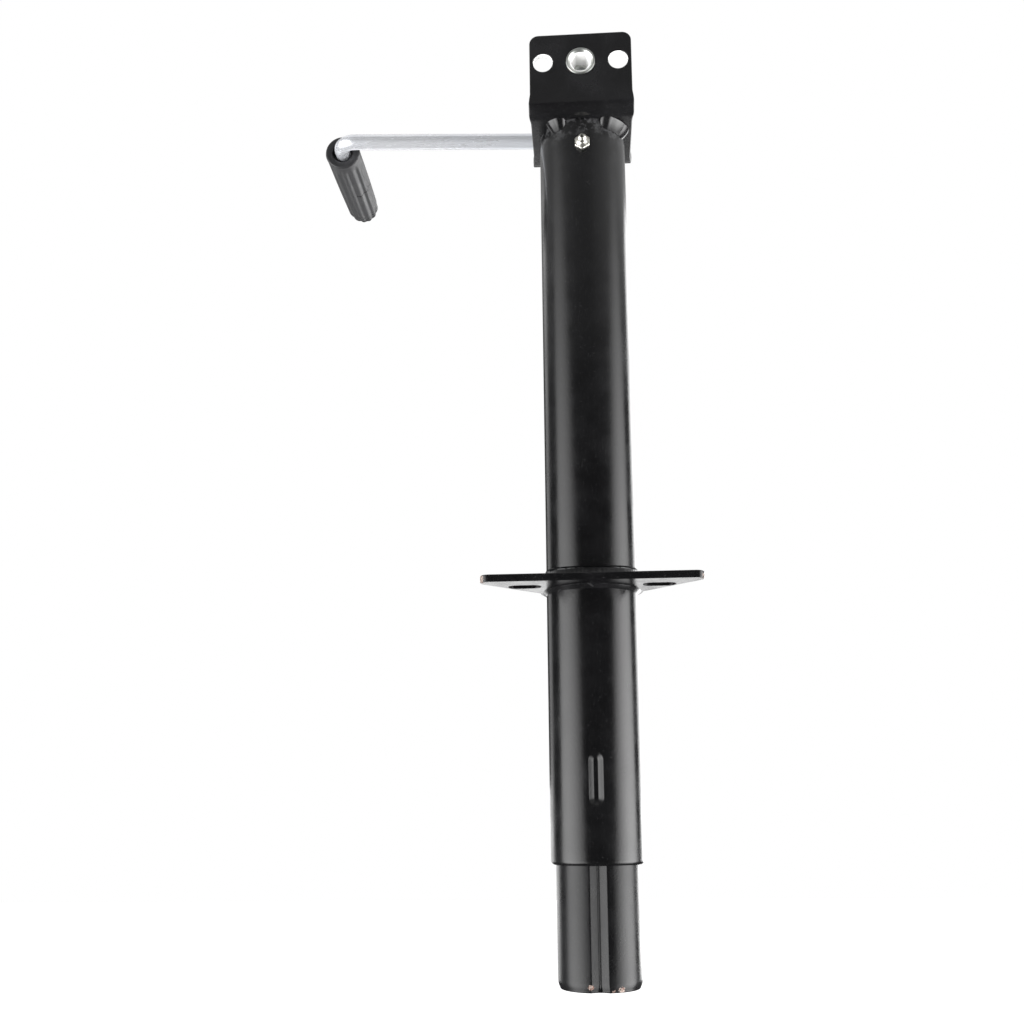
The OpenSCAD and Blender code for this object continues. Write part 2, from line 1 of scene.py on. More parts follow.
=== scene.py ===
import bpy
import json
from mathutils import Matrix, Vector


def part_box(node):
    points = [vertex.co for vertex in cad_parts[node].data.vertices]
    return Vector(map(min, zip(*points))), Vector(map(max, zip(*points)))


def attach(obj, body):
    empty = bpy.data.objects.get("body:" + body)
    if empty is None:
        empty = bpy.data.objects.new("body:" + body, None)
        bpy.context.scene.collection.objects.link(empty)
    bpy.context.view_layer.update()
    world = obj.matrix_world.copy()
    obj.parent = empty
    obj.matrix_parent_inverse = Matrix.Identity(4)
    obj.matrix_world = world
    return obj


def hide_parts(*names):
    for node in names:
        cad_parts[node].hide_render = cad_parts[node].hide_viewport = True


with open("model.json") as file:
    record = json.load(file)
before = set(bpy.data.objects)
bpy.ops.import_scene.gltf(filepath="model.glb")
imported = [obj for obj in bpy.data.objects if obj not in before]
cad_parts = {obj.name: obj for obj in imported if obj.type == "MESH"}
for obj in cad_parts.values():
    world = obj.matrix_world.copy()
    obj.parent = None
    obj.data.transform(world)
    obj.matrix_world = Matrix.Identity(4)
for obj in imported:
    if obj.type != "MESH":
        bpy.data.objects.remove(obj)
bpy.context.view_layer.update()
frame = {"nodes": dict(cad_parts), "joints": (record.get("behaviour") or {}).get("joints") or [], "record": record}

import json
import math

import bmesh
import bpy
from mathutils import Matrix, Vector, noise

MM = 0.001
TINY = 0.02 * MM
MAP_RANGE_KEYS = ("From Min", "From Max", "To Min", "To Max")
scene = bpy.context.scene
nodes = frame["nodes"]

# ------------------------------------------------------------------ the part's own sizes, from the model
tube_lo, tube_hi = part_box("outer_tube")
leg_lo, leg_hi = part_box("inner_tube")
bracket_lo, bracket_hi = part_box("gear_bracket")
flange_lo, flange_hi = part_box("mounting_flange")
sleeve_lo, sleeve_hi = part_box("drive_sleeve")
joint_at = {j["name"]: j for j in frame["joints"]}
TUBE_R = tube_hi.x
TUBE_TOP, TUBE_END = tube_hi.z, tube_lo.z
LEG_R = leg_hi.x
FOOT_Z, LEG_TOP = leg_lo.z, leg_hi.z
AXIS_Z = joint_at["crank_spin"]["pos_m"][2]
LEG_TRAVEL = joint_at["leg_slide"]["range_m"][1]


# ------------------------------------------------------------------ camera, floor and light
def ceiling(tree):
    """The room's light by direction: dim below, and brighter up towards a pale ceiling's sides."""
    coords = tree.nodes.new("ShaderNodeTexCoord")
    split = tree.nodes.new("ShaderNodeSeparateXYZ")
    tree.links.new(coords.outputs["Generated"], split.inputs[0])

    def graph(source, low, high, out_low, out_high):
        node = tree.nodes.new("ShaderNodeMapRange")
        for key, number in zip(MAP_RANGE_KEYS, (low, high, out_low, out_high)):
            node.inputs[key].default_value = number
        tree.links.new(source, node.inputs["Value"])
        return node.outputs["Result"]

    def sums(operation, a, b):
        node = tree.nodes.new("ShaderNodeMath")
        node.operation = operation
        for socket, value in zip(node.inputs, (a, b)):
            if isinstance(value, float):
                socket.default_value = value
            else:
                tree.links.new(value, socket)
        return node.outputs[0]

    up = graph(split.outputs["Z"], 0.33, 0.50, 0.0, 1.0)
    front = graph(split.outputs["Z"], 0.50, 0.60, 0.34, 0.10)
    right = graph(split.outputs["X"], 0.2, 0.8, 0.0, 0.46)
    left = graph(split.outputs["X"], -0.8, -0.2, 0.22, 0.0)
    aside = sums("ADD", right, left)
    return sums("ADD", sums("MULTIPLY", up, sums("ADD", front, aside)), 0.05)


def studio():
    camera = bpy.data.objects.new("camera", bpy.data.cameras.new("camera"))
    scene.collection.objects.link(camera)
    turn = (Matrix.Rotation(math.radians(3.74), 4, "Z") @ Matrix.Rotation(math.radians(90 + 10.52), 4, "X")
            @ Matrix.Rotation(math.radians(-0.55), 4, "Z"))
    camera.matrix_world = Matrix.Translation((-0.0017, -0.7493, -0.1392)) @ turn
    camera.data.lens = 42.24
    camera.data.sensor_width = 36
    camera.data.shift_y = 0.08
    camera.data.clip_start = 0.01
    scene.camera = camera
    scene.view_settings.view_transform = "Standard"
    scene.view_settings.look = "None"

    bm = bmesh.new()
    bmesh.ops.create_grid(bm, x_segments=8, y_segments=8, size=6)
    data = bpy.data.meshes.new("floor")
    bm.to_mesh(data)
    bm.free()
    floor = bpy.data.objects.new("floor", data)
    floor.location.z = FOOT_Z - LEG_TRAVEL - 0.0002
    floor.visible_glossy = False
    floor.visible_shadow = False
    scene.collection.objects.link(floor)
    paper = bpy.data.materials.new("floor_paper")
    paper.use_nodes = True
    shader = paper.node_tree.nodes["Principled BSDF"]
    shader.inputs["Base Color"].default_value = (0.93, 0.93, 0.93, 1)
    shader.inputs["Roughness"].default_value = 0.9
    shader.inputs["Specular IOR Level"].default_value = 0.1
    shader.inputs["Emission Color"].default_value = (1, 1, 1, 1)
    shader.inputs["Emission Strength"].default_value = 1.0
    data.materials.append(paper)

    world = bpy.data.worlds.new("studio")
    scene.world = world
    world.use_nodes = True
    tree = world.node_tree
    tree.nodes.clear()
    out = tree.nodes.new("ShaderNodeOutputWorld")
    mix = tree.nodes.new("ShaderNodeMixShader")
    path = tree.nodes.new("ShaderNodeLightPath")
    fill = tree.nodes.new("ShaderNodeBackground")
    white = tree.nodes.new("ShaderNodeBackground")
    tree.links.new(ceiling(tree), fill.inputs["Strength"])
    white.inputs["Strength"].default_value = 1.0
    for background in (fill, white):
        background.inputs["Color"].default_value = (1, 1, 1, 1)
    tree.links.new(path.outputs["Is Camera Ray"], mix.inputs["Fac"])
    tree.links.new(fill.outputs[0], mix.inputs[1])
    tree.links.new(white.outputs[0], mix.inputs[2])
    tree.links.new(mix.outputs[0], out.inputs["Surface"])

    def softbox(name, place, azimuth, rise, size_x, size_y, spread, power):
        """A soft panel. Azimuth says which side it shines from, in degrees to the right of the front, rise
        tilts its face up, and spread is how widely its louvre lets the light out."""
        light = bpy.data.lights.new(name, "AREA")
        light.shape = "RECTANGLE"
        light.size, light.size_y, light.energy = size_x, size_y, power
        light.spread = math.radians(spread)
        lamp = bpy.data.objects.new(name, light)
        lamp.location = place
        lamp.rotation_euler = (math.radians(90 + rise), 0, math.radians(azimuth))
        lamp.visible_camera = False
        scene.collection.objects.link(lamp)

    softbox("softbox_left", (-0.845, -0.90, 0.05), -72.5, 16, 1.95, 2.5, 94, 25.5)
    softbox("softbox_right", (0.95, -0.42, 0.05), 86, 13, 1.55, 2.6, 84, 22)
    softbox("softbox_back", (0.75, 1.3, 0.3), 150, 0, 0.9, 1.5, 130, 8)
    softbox("softbox_back_left", (-1.0, 1.0, 0.25), -135, 0, 0.5, 1.6, 180, 2.2)
    softbox("softbox_low", (0.0, 1.6, -0.31), 180, 0, 3.4, 0.45, 160, 7.5)
    softbox("softbox_top", (0.0, 0.3, 2.1), 0, -90, 2.4, 2.4, 180, 16)


# ------------------------------------------------------------------ materials
class Tree:
    """A material's node tree, with short calls for the nodes that are used here."""

    def __init__(self, name):
        self.material = bpy.data.materials.new(name)
        self.material.use_nodes = True
        self.nodes = self.material.node_tree.nodes
        self.links = self.material.node_tree.links
        self.shader = self.nodes["Principled BSDF"]
        self.coords = self.nodes.new("ShaderNodeTexCoord").outputs["Object"]

    def stretched(self, scale):
        mapping = self.nodes.new("ShaderNodeMapping")
        mapping.inputs["Scale"].default_value = scale
        self.links.new(self.coords, mapping.inputs["Vector"])
        return mapping.outputs["Vector"]

    def noise(self, scale, detail=3.0, rough=0.55, vector=None):
        node = self.nodes.new("ShaderNodeTexNoise")
        node.inputs["Scale"].default_value = scale
        node.inputs["Detail"].default_value = detail
        node.inputs["Roughness"].default_value = rough
        self.links.new(vector or self.coords, node.inputs["Vector"])
        return node.outputs["Fac"]

    def ramp(self, value, low, high, out_low=0.0, out_high=1.0):
        node = self.nodes.new("ShaderNodeMapRange")
        node.interpolation_type = "SMOOTHSTEP"
        for key, number in zip(MAP_RANGE_KEYS, (low, high, out_low, out_high)):
            node.inputs[key].default_value = number
        self.links.new(value, node.inputs["Value"])
        return node.outputs["Result"]

    def math(self, operation, a, b=None):
        node = self.nodes.new("ShaderNodeMath")
        node.operation = operation
        for socket, value in zip(node.inputs, (a, b)):
            if value is None:
                continue
            if isinstance(value, (int, float)):
                socket.default_value = value
            else:
                self.links.new(value, socket)
        return node.outputs[0]

    def mix(self, factor, a, b):
        node = self.nodes.new("ShaderNodeMix")
        node.data_type = "RGBA"
        self.links.new(factor, node.inputs["Factor"])
        for key, value in (("A", a), ("B", b)):
            socket = [s for s in node.inputs if s.name == key and s.type == "RGBA"][0]
            if isinstance(value, tuple):
                socket.default_value = (*value, 1)
            else:
                self.links.new(value, socket)
        return [s for s in node.outputs if s.type == "RGBA"][0]

    def distance(self, middle):
        """How far the surface is from a point of the part."""
        node = self.nodes.new("ShaderNodeVectorMath")
        node.operation = "DISTANCE"
        self.links.new(self.coords, node.inputs[0])
        node.inputs[1].default_value = middle
        return node.outputs["Value"]

    def worn_edges(self, low, high):
        geometry = self.nodes.new("ShaderNodeNewGeometry")
        return self.ramp(geometry.outputs["Pointiness"], low, high)

    def bump(self, value, strength, distance, after=None):
        node = self.nodes.new("ShaderNodeBump")
        node.inputs["Strength"].default_value = strength
        node.inputs["Distance"].default_value = distance
        self.links.new(value, node.inputs["Height"])
        if after is not None:
            self.links.new(after, node.inputs["Normal"])
        return node.outputs["Normal"]

    def finish(self, color, roughness, normal, metallic=0.0, **sockets):
        self.links.new(color, self.shader.inputs["Base Color"])
        self.links.new(roughness, self.shader.inputs["Roughness"])
        self.links.new(normal, self.shader.inputs["Normal"])
        if isinstance(metallic, float):
            self.shader.inputs["Metallic"].default_value = metallic
        else:
            self.links.new(metallic, self.shader.inputs["Metallic"])
        for key, number in sockets.items():
            self.shader.inputs[key.replace("_", " ")].default_value = number
        return self.material


def powder_coat(name, base, rough, chips_at=None, peel=0.10, ior=1.5):
    """Black powder coat: orange peel, slight mottling, dust and fine rubs. chips_at lists the middle and
    the radius of each knock that took paint off."""
    t = Tree(name)
    mottle = t.noise(38, 5, 0.6)
    dull, bright = tuple(0.72 * c for c in base), tuple(1.35 * c for c in base)
    color = t.mix(t.ramp(mottle, 0.35, 0.7), dull, bright)
    dust = t.ramp(t.noise(1500, 2, 0.5), 0.66, 0.74)
    color = t.mix(t.math("MULTIPLY", dust, 0.35), color, (0.09, 0.09, 0.09))
    edge = t.math("MULTIPLY", t.worn_edges(0.53, 0.62), t.ramp(t.noise(160, 4, 0.7), 0.45, 0.62))
    color = t.mix(t.math("MULTIPLY", edge, 0.55), color, (0.14, 0.14, 0.145))
    rub = t.ramp(t.noise(60, 6, 0.75, t.stretched((9, 9, 1.2))), 0.60, 0.76)
    uneven = t.ramp(mottle, 0.3, 0.75, rough - 0.05, rough + 0.06)
    roughness = t.math("ADD", uneven, t.math("MULTIPLY", rub, 0.10))
    metallic = 0.0
    if chips_at:
        ragged = t.math("MULTIPLY", t.math("SUBTRACT", t.noise(330, 4, 0.7), 0.5), 0.006)
        chips = None
        for middle, radius in chips_at:
            knock = t.ramp(t.math("ADD", t.distance(middle), ragged), radius, radius * 0.8)
            chips = knock if chips is None else t.math("MAXIMUM", chips, knock)
        rust = t.ramp(t.noise(900, 3, 0.6), 0.40, 0.60)
        color = t.mix(chips, color, t.mix(rust, (0.42, 0.36, 0.32), (0.16, 0.08, 0.06)))
        roughness = t.math("ADD", roughness, t.math("MULTIPLY", chips, 0.20))
        metallic = t.math("MULTIPLY", chips, 0.5)
    normal = t.bump(t.noise(750, 2, 0.5), peel, 0.0004)
    normal = t.bump(t.noise(2600, 2, 0.5), peel * 0.5, 0.0002, normal)
    return t.finish(color, roughness, normal, metallic, IOR=ior)


def metal(name, light, dark, rough, scale=45.0, grain=(1, 1, 1), grain_bump=0.05, spots=None, edge=0.25,
          metallic=1.0):
    """Bare or plated metal with tonal drift, marks along one direction, and optional stains."""
    t = Tree(name)
    drift = t.noise(scale, 5, 0.6)
    color = t.mix(t.ramp(drift, 0.32, 0.68), light, dark)
    if spots:
        color = t.mix(t.ramp(t.noise(scale * 5, 4, 0.7), 0.60, 0.72, 0, 0.7), color, spots)
    bright = t.worn_edges(0.52, 0.60)
    color = t.mix(t.math("MULTIPLY", bright, edge), color, tuple(min(1.0, 1.25 * c) for c in light))
    marks = t.noise(420, 3, 0.6, t.stretched(grain))
    uneven = t.ramp(drift, 0.3, 0.7, rough - 0.04, rough + 0.07)
    roughness = t.math("ADD", uneven, t.ramp(marks, 0.3, 0.8, 0, 0.08))
    return t.finish(color, roughness, t.bump(marks, grain_bump, 0.0003), metallic)


def moulded_plastic(name, base, rough):
    """Black moulded plastic: fine texture from the mould, paler rubbed ridges, and slight blushing."""
    t = Tree(name)
    blush = t.noise(55, 4, 0.6)
    color = t.mix(t.ramp(blush, 0.35, 0.7), tuple(0.85 * c for c in base), tuple(1.2 * c for c in base))
    color = t.mix(t.math("MULTIPLY", t.worn_edges(0.51, 0.58), 0.35), color, tuple(2.2 * c for c in base))
    scuffs = t.ramp(t.noise(130, 6, 0.75, t.stretched((1, 4, 1))), 0.60, 0.75)
    color = t.mix(t.math("MULTIPLY", scuffs, 0.22), color, tuple(2.6 * c for c in base))
    uneven = t.ramp(blush, 0.3, 0.7, rough - 0.04, rough + 0.06)
    roughness = t.math("ADD", uneven, t.math("MULTIPLY", scuffs, 0.08))
    return t.finish(color, roughness, t.bump(t.noise(1900, 2, 0.5), 0.16, 0.0003), 0.0, IOR=1.49)


MATERIALS = {
    "black_paint": powder_coat("black_paint", (0.0038, 0.0038, 0.0042), 0.22),
    "weld_paint": powder_coat("weld_paint", (0.0065, 0.0065, 0.0070), 0.20, peel=0.12),
    "zinc_rod": metal("zinc_rod", (0.74, 0.75, 0.78), (0.66, 0.68, 0.72), 0.25, 12, (0.1, 2, 2), 0.004,
                      edge=0.0, metallic=0.60),
    "zinc_sleeve": metal("zinc_sleeve", (0.64, 0.65, 0.62), (0.50, 0.52, 0.50), 0.33, 60, (1, 1, 1), 0.08,
                         (0.40, 0.41, 0.38)),
    "zinc_fitting": metal("zinc_fitting", (0.78, 0.77, 0.70), (0.62, 0.61, 0.56), 0.30, 90, (1, 1, 1),
                          0.06),
    "gear_steel": metal("gear_steel", (0.30, 0.30, 0.31), (0.17, 0.16, 0.155), 0.36, 70, (1, 1, 1), 0.18,
                        (0.09, 0.075, 0.055), 0.6),
    "plain_steel": metal("plain_steel", (0.52, 0.52, 0.53), (0.40, 0.40, 0.41), 0.30, 60, (1, 1, 12), 0.12,
                         (0.30, 0.27, 0.24)),
    "bearing_steel": metal("bearing_steel", (0.74, 0.74, 0.75), (0.62, 0.62, 0.64), 0.14, 50, (1, 1, 6),
                           0.04),
    "spring_steel": metal("spring_steel", (0.15, 0.15, 0.165), (0.08, 0.08, 0.09), 0.38, 80, (1, 1, 1),
                          0.10),
    "bronze": metal("bronze", (0.62, 0.42, 0.20), (0.44, 0.29, 0.13), 0.32, 60, (1, 1, 8), 0.10,
                    (0.30, 0.19, 0.09)),
    "grip_plastic": moulded_plastic("grip_plastic", (0.016, 0.016, 0.0175), 0.44),
}
# Painted reflection: a near-white, barely metallic finish that stands in for the bright floor glaring in the
# bracket's side-hole walls and inside the sleeve's socket.
PAINTED_GLARE_WHITE = metal("painted_glare_white", (0.98, 0.98, 0.97), (0.94, 0.94, 0.93), 0.40, 60, (1, 1, 1), 0.05,
                    metallic=0.10)
LEG_PAINT = powder_coat("leg_paint", (0.0045, 0.0045, 0.0050), 0.28, peel=0.12, ior=1.40, chips_at=[
    ((0.0085, -0.0240, FOOT_Z + 0.0004), 0.0023), ((0.0130, -0.0218, FOOT_Z + 0.0008), 0.0026),
    ((-0.0055, -0.0245, FOOT_Z + 0.0035), 0.0016), ((-0.0240, 0.0080, FOOT_Z + 0.0008), 0.0022),
    ((0.0090, 0.0237, FOOT_Z + 0.0010), 0.0026)])
BRACKET_PAINT = powder_coat("bracket_paint", (0.0068, 0.0068, 0.0074), 0.24)
# Painted shade: a darker, duller coat for the dark line along the top of the upper weld's toe, where the lip's
# undercut lies in shadow.
TOE_PAINTED_SHADE = powder_coat("toe_painted_shade", (0.0012, 0.0012, 0.0014), 0.55, peel=0.2, ior=1.15)
FLANGE_PAINT = powder_coat("flange_paint", (0.0042, 0.0042, 0.0046), 0.22, chips_at=[
    ((flange_lo.x + 0.0012, flange_lo.y + 0.0040, flange_lo.z + 0.0026), 0.0030),
    ((flange_hi.x - 0.0012, flange_lo.y + 0.0030, flange_lo.z + 0.0012), 0.0014)])


# ------------------------------------------------------------------ mesh helpers
def piece(name, bm, body, slot, replaced=(), material=None, second=None, sharp=None, weighted=False):
    bmesh.ops.remove_doubles(bm, verts=bm.verts, dist=1e-6)
    bmesh.ops.recalc_face_normals(bm, faces=bm.faces)
    data = bpy.data.meshes.new(name)
    bm.to_mesh(data)
    bm.free()
    data.shade_smooth()
    if sharp:
        data.set_sharp_from_angle(angle=math.radians(sharp))
    obj = bpy.data.objects.new(name, data)
    scene.collection.objects.link(obj)
    data.materials.append(material or MATERIALS[slot])
    if second:
        data.materials.append(second)
    if weighted:
        modifier = obj.modifiers.new("weighted", "WEIGHTED_NORMAL")
        modifier.keep_sharp = True
        modifier.weight = 100
    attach(obj, body)
    if replaced:
        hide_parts(*replaced)


def add_grid(bm, rows, wrap_u=False):
    """Adds quads through closed rows of points, and wrap_u joins the last row to the first."""
    grid = [[bm.verts.new(p) for p in row] for row in rows]
    count_u, count_v = len(grid), len(grid[0])
    for i in range(count_u if wrap_u else count_u - 1):
        for j in range(count_v):
            a, b = grid[i], grid[(i + 1) % count_u]
            k = (j + 1) % count_v
            bm.faces.new((a[j], a[k], b[k], b[j]))


def full_turn(count):
    return [2 * math.pi * i / count for i in range(count)]


def arc(cx, cy, radius, start, end, steps):
    """Points along an arc about a centre, from one angle to another in degrees."""
    turns = [math.radians(start + (end - start) * i / steps) for i in range(steps + 1)]
    return [(cx + radius * math.cos(a), cy + radius * math.sin(a)) for a in turns]


def around(radius, angle, z):
    """A point at a radius and an angle in degrees about the tube's axis."""
    return (radius * math.cos(math.radians(angle)), radius * math.sin(math.radians(angle)), z)


def smoothstep(low, high, value):
    x = min(1.0, max(0.0, (value - low) / (high - low)))
    return x * x * (3 - 2 * x)


def lathe(bm, profile, segments, place):
    """Turns a closed profile of (radius, height) about an axis; place maps (x, y, height) to a point."""
    rows = [[place(r * math.cos(a), r * math.sin(a), h) for r, h in profile] for a in full_turn(segments)]
    add_grid(bm, rows, wrap_u=True)


def flat_plate(outline, holes, thickness, bevel):
    """A flat plate with rounded edges: outline and holes are closed lists of (x, y) in metres."""
    curve = bpy.data.curves.new("plate", "CURVE")
    curve.dimensions = "2D"
    curve.fill_mode = "BOTH"
    curve.extrude = thickness / 2 - bevel
    curve.bevel_depth = bevel
    curve.bevel_resolution = 3
    curve.offset = -bevel
    for loop in [outline] + list(holes):
        spline = curve.splines.new("POLY")
        spline.points.add(len(loop) - 1)
        for point, (x, y) in zip(spline.points, loop):
            point.co = (x, y, 0, 1)
        spline.use_cyclic_u = True
    holder = bpy.data.objects.new("plate", curve)
    scene.collection.objects.link(holder)
    bpy.context.view_layer.update()
    evaluated = holder.evaluated_get(bpy.context.evaluated_depsgraph_get())
    mesh = bpy.data.meshes.new_from_object(evaluated)
    bm = bmesh.new()
    bm.from_mesh(mesh)
    bpy.data.objects.remove(holder)
    bpy.data.curves.remove(curve)
    bpy.data.meshes.remove(mesh)
    bmesh.ops.remove_doubles(bm, verts=bm.verts, dist=2e-6)
    return bm


def circle(cx, cy, radius, count=72):
    return [(cx + radius * math.cos(a), cy + radius * math.sin(a)) for a in full_turn(count)]


def slot_loop(cx, cy, length, width):
    half, r = (length - width) / 2, width / 2
    return arc(cx + half, cy, r, -90, 90, 24) + arc(cx - half, cy, r, 90, 270, 24)


def hull(points):
    """Convex outline around points, anticlockwise."""
    points = sorted(set(points))

    def chain(seq):
        out = []
        for p in seq:
            while len(out) > 1 and ((out[-1][0] - out[-2][0]) * (p[1] - out[-2][1])
                                    - (out[-1][1] - out[-2][1]) * (p[0] - out[-2][0])) <= 0:
                out.pop()
            out.append(p)
        return out[:-1]

    return chain(points) + chain(points[::-1])


# ------------------------------------------------------------------ fixed tube
def outer_tube():
    wall, lip_bore, lip_h, round_r = 2.6 * MM, LEG_R + 0.35 * MM, 3 * MM, 2.8 * MM
    dimple_z, half_l, half_w, floor_w, depth = -117.5 * MM, 16 * MM, 4.8 * MM, 1.3 * MM, 2.25 * MM
    coarse = [round(-90 + 2.5 * i, 3) for i in range(144)]
    fine = [round(-90 + 0.6 * i, 3) for i in range(-26, 27)]
    also = [round(270 + 0.6 * i, 3) for i in range(-26, 0)]
    angles = sorted(set(a % 360 for a in coarse + fine + also))

    def press(angle, z):
        side = ((angle - 270 + 180) % 360 - 180) * math.pi / 180 * TUBE_R
        along = max(0.0, abs(z - dimple_z) - (half_l - half_w))
        away = math.hypot(side, along)
        share = min(1.0, max(0.0, (away - floor_w) / (half_w - floor_w)))
        soft = 0.06 * math.exp(-((share - 1) / 0.12) ** 2)
        return depth * max(0.0, 1 - share - soft + 0.06 * (share > 0.999))

    heights = [TUBE_TOP - 0.02 * i for i in range(21) if TUBE_TOP - 0.02 * i > dimple_z + 0.021]
    heights += [dimple_z + 0.0195 - 0.00075 * i for i in range(53)]
    heights += [z for z in (-0.148, -0.158) if z > TUBE_END + round_r]
    rows = [[around(TUBE_R - press(a, z), a, z) for a in angles] for z in heights]
    profile = arc(TUBE_R - round_r, TUBE_END + round_r, round_r, 0, -90, 12)
    profile += [(lip_bore, TUBE_END), (lip_bore, TUBE_END + lip_h)]
    profile.append((TUBE_R - wall, TUBE_END + lip_h + 0.4 * MM))
    rows += [[around(r, a, z) for a in angles] for r, z in profile]
    inner = [-0.15] + [dimple_z - 0.0195 + 0.0015 * i for i in range(27)] + [0.0, 0.1, 0.2, TUBE_TOP]
    rows += [[around(TUBE_R - wall - press(a, z), a, z) for a in angles] for z in inner]
    bm = bmesh.new()
    add_grid(bm, rows, wrap_u=True)
    piece("jack_outer_tube", bm, "outer", "black_paint", ["outer_tube"], sharp=40)


# ------------------------------------------------------------------ sliding leg
def drop_leg():
    """The leg with its pressed V groove, the tube's weld seam in it, and a slightly curled end."""
    wall, floor_y, floor_x, slope, edge_x = 2 * MM, LEG_R - 3.2 * MM, 0.6 * MM, 0.571, 9.8 * MM
    outline = []
    for i in range(121):
        x = -edge_x + 2 * edge_x * i / 120
        surface = math.sqrt(LEG_R ** 2 - x ** 2)
        valley = floor_y + slope * max(0.0, abs(x) - floor_x)
        blend = max(0.0, 0.35 * MM - abs(surface - valley)) / (0.35 * MM)
        seam = 0.30 * MM * math.exp(-(x / (0.40 * MM)) ** 2)
        outline.append((x, -(min(surface, valley) - 0.09 * MM * blend ** 2 + seam)))
    start = math.degrees(math.atan2(outline[-1][1], outline[-1][0]))
    stop = math.degrees(math.atan2(outline[0][1], outline[0][0])) + 360
    outline += arc(0, 0, LEG_R, start, stop, 150)[1:-1]

    def inset(amount):
        out, count = [], len(outline)
        for i, (x, y) in enumerate(outline):
            (ax, ay), (bx, by) = outline[i - 1], outline[(i + 1) % count]
            length = math.hypot(bx - ax, by - ay)
            out.append((x - (by - ay) / length * amount, y + (bx - ax) / length * amount))
        return out

    edge, curl, curl_h = 1.0 * MM, 1.3 * MM, 6 * MM
    rings = [(0, LEG_TOP)]
    rings += [(0, FOOT_Z + 0.03 + (LEG_TOP - FOOT_Z - 0.03) * (1 - k / 12)) for k in range(1, 13)]
    rings += [(curl * (k / 6) ** 2, FOOT_Z + curl_h - (curl_h - edge) * k / 6) for k in range(6)]
    for a in (math.radians(d) for d in (0, 22, 45, 68, 90)):
        rings.append((curl + edge * (1 - math.cos(a)), FOOT_Z + edge * (1 - math.sin(a))))
    for a in (math.radians(d) for d in (0, 30, 60, 90)):
        rings.append((curl + wall - edge * (1 - math.sin(a)), FOOT_Z + edge * (1 - math.cos(a))))
    rings += [(wall, FOOT_Z + curl_h), (wall, LEG_TOP)]
    rows = [[(x, y, z) for x, y in inset(amount)] for amount, z in rings]
    bm = bmesh.new()
    add_grid(bm, rows, wrap_u=True)
    piece("jack_drop_leg", bm, "leg", "black_paint", ["inner_tube"], LEG_PAINT, sharp=50)


# ------------------------------------------------------------------ flange
def flange():
    """The flange plate: two front wings that slant back to the tube, a rim around it and a lug behind."""
    t = flange_hi.z - flange_lo.z
    corner_r, waist_r, lug_r, bolt_r = 5.5 * MM, 23.5 * MM, 14 * MM, 5 * MM
    corner_x, corner_y = flange_hi.x - corner_r, flange_lo.y + corner_r
    lug_y = flange_hi.y - lug_r

    def rounded(circles):
        return hull([(round(x, 8), round(y, 8)) for c in circles for x, y in circle(*c, 180)])

    wings = rounded([(-corner_x, corner_y, corner_r), (corner_x, corner_y, corner_r), (0, 0, waist_r)])
    lug = rounded([(0, 0, TUBE_R + 4 * MM), (0, lug_y, lug_r)])

    def reach(outline, dx, dy):
        """How far a ray from the tube's axis runs inside a convex outline."""
        for (ax, ay), (bx, by) in zip(outline, outline[1:] + outline[:1]):
            turn = dx * (by - ay) - dy * (bx - ax)
            if abs(turn) < 1e-15:
                continue
            far = (ax * (by - ay) - ay * (bx - ax)) / turn
            share = (ax * dy - ay * dx) / turn
            if far > 0 and -1e-9 <= share <= 1 + 1e-9:
                return far
        return 0.0

    outline = []
    for i in range(720):
        a = math.radians(0.25 + 0.5 * i)
        dx, dy = math.cos(a), math.sin(a)
        far = max(reach(wings, dx, dy), reach(lug, dx, dy))
        outline.append((far * dx, far * dy))
    slot_x, slot_y, slot_l = 41.2445 * MM, -23.8125 * MM, 20 * MM
    holes = [slot_loop(side * slot_x, slot_y, slot_l, 2 * bolt_r) for side in (-1, 1)]
    holes += [circle(0, lug_y, bolt_r), circle(0, 0, TUBE_R + 0.1 * MM, 120)]
    bm = flat_plate(outline, holes, t, 0.6 * MM)
    bmesh.ops.translate(bm, verts=bm.verts, vec=(0, 0, (flange_lo.z + flange_hi.z) / 2))
    piece("jack_flange", bm, "outer", "black_paint", ["mounting_flange"], FLANGE_PAINT, sharp=60,
          weighted=True)


